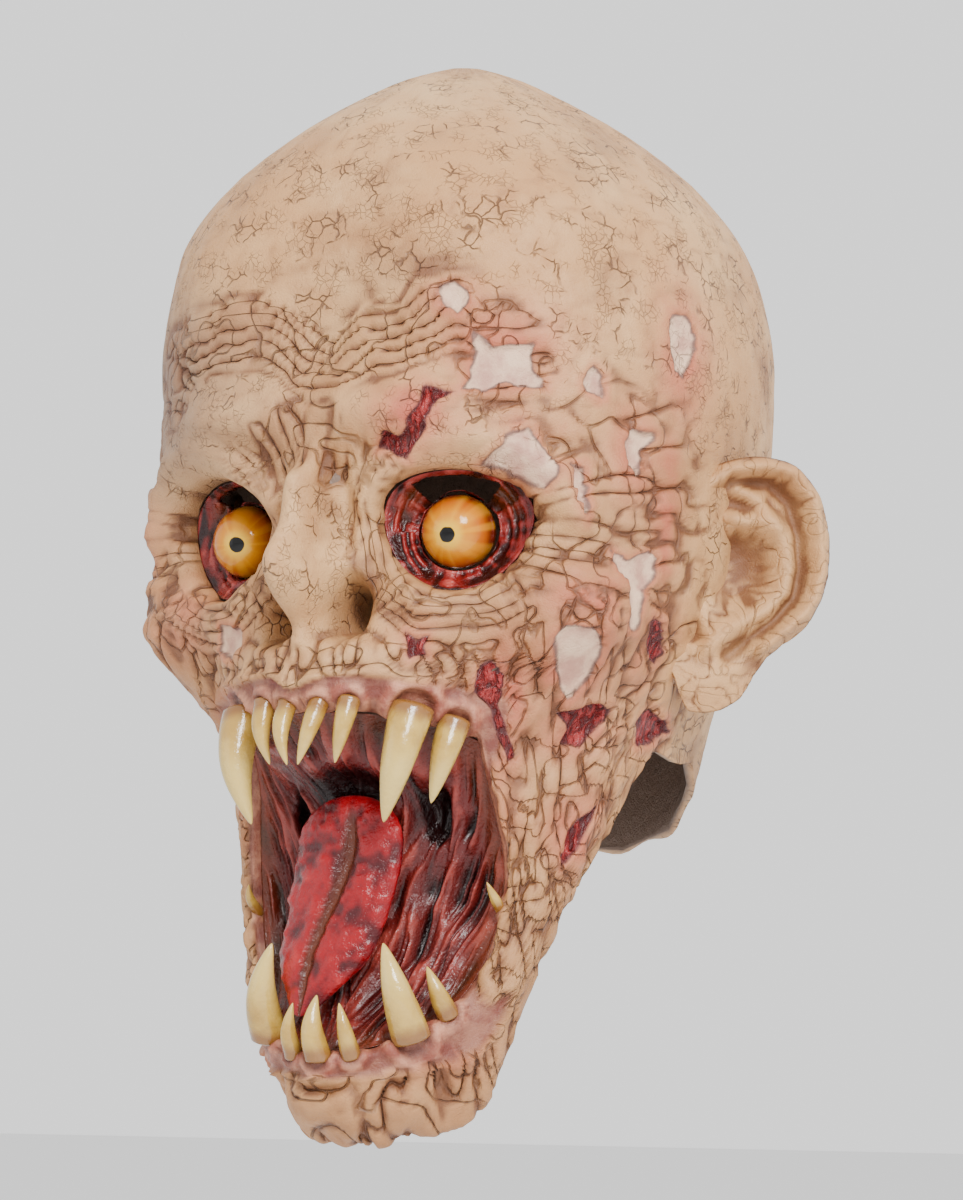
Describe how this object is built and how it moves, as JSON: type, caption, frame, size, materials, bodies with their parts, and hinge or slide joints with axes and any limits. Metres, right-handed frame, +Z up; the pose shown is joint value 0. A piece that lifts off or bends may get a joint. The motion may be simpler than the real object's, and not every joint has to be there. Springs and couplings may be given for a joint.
{
  "type": "monster mask",
  "caption": "Overhead latex ghoul mask: bald cracked head, amber eyes in red sockets, big ears, gaping jaws with fangs and tongue, open at the neck.",
  "frame": {"origin": "inside of the crown, where the wearer's head touches the mask", "axes": "+Z up through the crown, -Y the way the face looks, +X towards the mask's own left ear"},
  "size_m": [0.243, 0.2311, 0.3539],
  "materials": {
    "latex_skin": "matte",
    "wet_flesh": "gloss",
    "tongue_red": "gloss",
    "tooth_ivory": "gloss",
    "eye_amber": "gloss"
  },
  "bodies": {
    "root": {"hood": "latex_skin", "ear_left": "latex_skin", "ear_right": "latex_skin", "socket_left": "wet_flesh", "socket_right": "wet_flesh", "mouth_lining": "wet_flesh", "eyeball_left": "eye_amber", "eyeball_right": "eye_amber", "tongue": "tongue_red", "upper_incisor_left": "tooth_ivory", "upper_incisor_right": "tooth_ivory", "upper_side_incisor_left": "tooth_ivory", "upper_side_incisor_right": "tooth_ivory", "upper_fang_left": "tooth_ivory", "upper_fang_right": "tooth_ivory", "upper_small_fang_left": "tooth_ivory", "upper_small_fang_right": "tooth_ivory", "lower_side_incisor_left": "tooth_ivory", "lower_side_incisor_right": "tooth_ivory", "lower_fang_left": "tooth_ivory", "lower_fang_right": "tooth_ivory", "lower_small_fang_left": "tooth_ivory", "lower_small_fang_right": "tooth_ivory", "lower_side_tooth_left": "tooth_ivory", "lower_side_tooth_right": "tooth_ivory", "lower_incisor": "tooth_ivory"}
  },
  "joints": []
}
